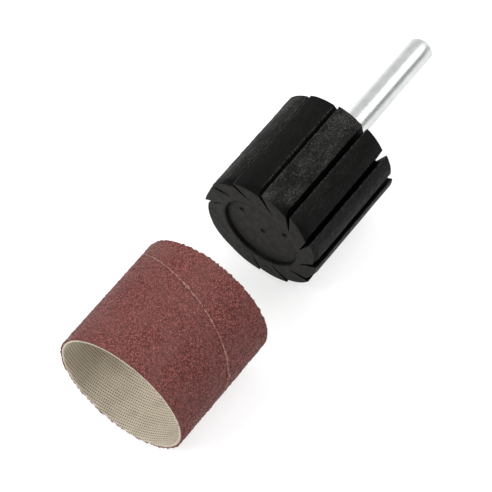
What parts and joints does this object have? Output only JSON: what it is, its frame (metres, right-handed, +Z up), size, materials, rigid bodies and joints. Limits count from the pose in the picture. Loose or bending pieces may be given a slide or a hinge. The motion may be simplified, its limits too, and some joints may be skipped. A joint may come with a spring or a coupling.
{
  "type": "sanding drum",
  "caption": "Slotted rubber sanding drum on a plain round shank, with its spiral-wound abrasive cloth sleeve slid off the front.",
  "frame": {"origin": "on the tool axis, where the shank leaves the drum's back face", "axes": "+Y along the shank, away from the drum; the drum's front face looks to -Y; +Z up as it lies on a bench"},
  "size_m": [0.0324, 0.113, 0.0324],
  "materials": {
    "steel": "bright zinc plate",
    "rubber": "matt moulded",
    "lining_cloth": "woven, resin stiffened",
    "abrasive_cloth": "coarse bonded grit"
  },
  "bodies": {
    "mandrel": {"shank": "steel", "anchor_disc": "steel", "rubber_drum": "rubber"},
    "sleeve": {"lining_strip": "lining_cloth", "abrasive_strip": "abrasive_cloth"}
  },
  "joints": [
    {"name": "sleeve_slide", "type": "slide", "parent": "mandrel", "child": "sleeve", "axis": [0, 1, 0], "range_m": [0, 0.049]}
  ]
}
